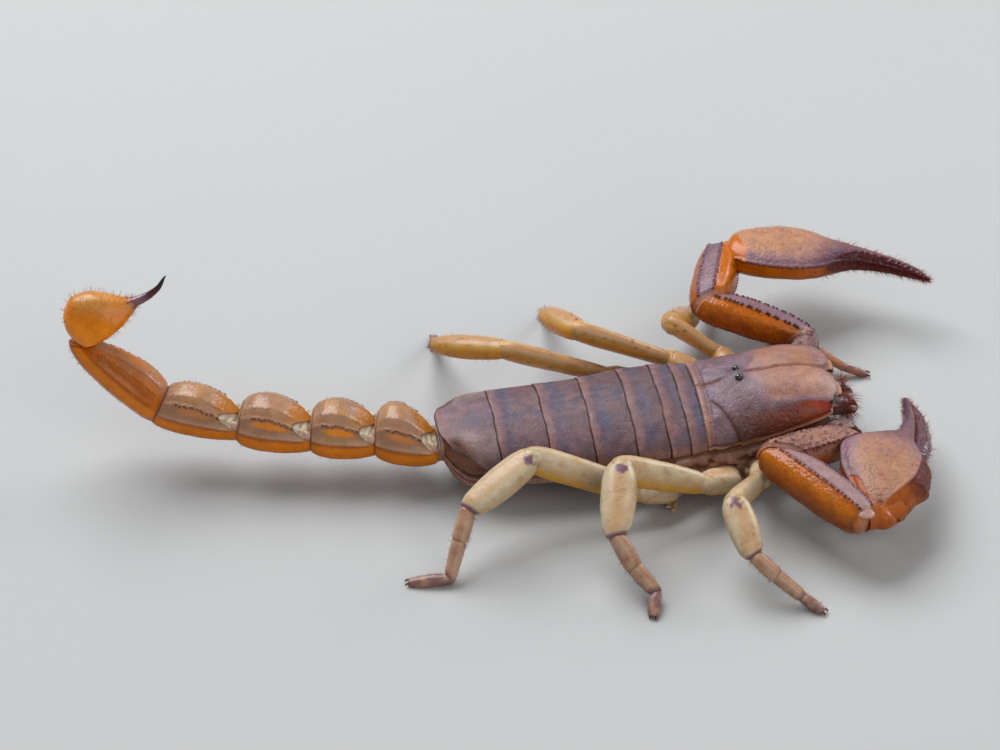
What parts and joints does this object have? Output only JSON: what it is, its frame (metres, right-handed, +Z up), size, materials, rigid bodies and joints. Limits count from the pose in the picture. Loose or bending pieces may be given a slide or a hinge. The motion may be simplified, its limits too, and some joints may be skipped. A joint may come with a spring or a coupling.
{
  "type": "desert scorpion",
  "caption": "Life-size still model of a burrowing desert scorpion, low on its legs with its claws held forward and its sting raised.",
  "frame": {"origin": "middle of the animal's bounding box at the level of its soles", "axes": "+X the way the head points, +Y the animal's left, +Z up"},
  "size_m": [0.1, 0.0594, 0.0228],
  "materials": {
    "head_shield": "satin purple-brown cuticle",
    "back_plates": "satin slate-brown cuticle",
    "eyes": "glossy black",
    "tail_amber": "glossy amber cuticle",
    "dark_tips": "glossy dark red-brown cuticle",
    "claw_amber": "granular orange-brown cuticle, glossy beneath",
    "leg_cream": "smooth cream-yellow cuticle",
    "belly_cream": "pale soft cuticle"
  },
  "bodies": {
    "root": {"belly": "belly_cream", "bulb": "tail_amber", "carapace": "head_shield", "chelicera_left": "dark_tips", "chelicera_right": "dark_tips", "eye_left": "eyes", "eye_right": "eyes", "leg_left_1_foot": "leg_cream", "leg_left_1_shin": "leg_cream", "leg_left_1_thigh": "leg_cream", "leg_left_2_foot": "leg_cream", "leg_left_2_shin": "leg_cream", "leg_left_2_thigh": "leg_cream", "leg_left_3_foot": "leg_cream", "leg_left_3_shin": "leg_cream", "leg_left_3_thigh": "leg_cream", "leg_left_4_foot": "leg_cream", "leg_left_4_shin": "leg_cream", "leg_left_4_thigh": "leg_cream", "leg_right_1_foot": "leg_cream", "leg_right_1_shin": "leg_cream", "leg_right_1_thigh": "leg_cream", "leg_right_2_foot": "leg_cream", "leg_right_2_shin": "leg_cream", "leg_right_2_thigh": "leg_cream", "leg_right_3_foot": "leg_cream", "leg_right_3_shin": "leg_cream", "leg_right_3_thigh": "leg_cream", "leg_right_4_foot": "leg_cream", "leg_right_4_shin": "leg_cream", "leg_right_4_thigh": "leg_cream", "palp_left_femur": "claw_amber", "palp_left_finger": "dark_tips", "palp_left_hand": "claw_amber", "palp_left_patella": "claw_amber", "palp_left_trochanter": "head_shield", "palp_right_femur": "claw_amber", "palp_right_finger": "dark_tips", "palp_right_hand": "claw_amber", "palp_right_patella": "claw_amber", "palp_right_trochanter": "head_shield", "pecten_left": "belly_cream", "pecten_right": "belly_cream", "prosoma_core": "belly_cream", "sternum": "belly_cream", "sting": "dark_tips", "tail_1": "tail_amber", "tail_2": "tail_amber", "tail_3": "tail_amber", "tail_4": "tail_amber", "tail_5": "tail_amber", "tergite_1": "back_plates", "tergite_2": "back_plates", "tergite_3": "back_plates", "tergite_4": "back_plates", "tergite_5": "back_plates", "tergite_6": "back_plates", "tergite_7": "back_plates"}
  },
  "joints": []
}
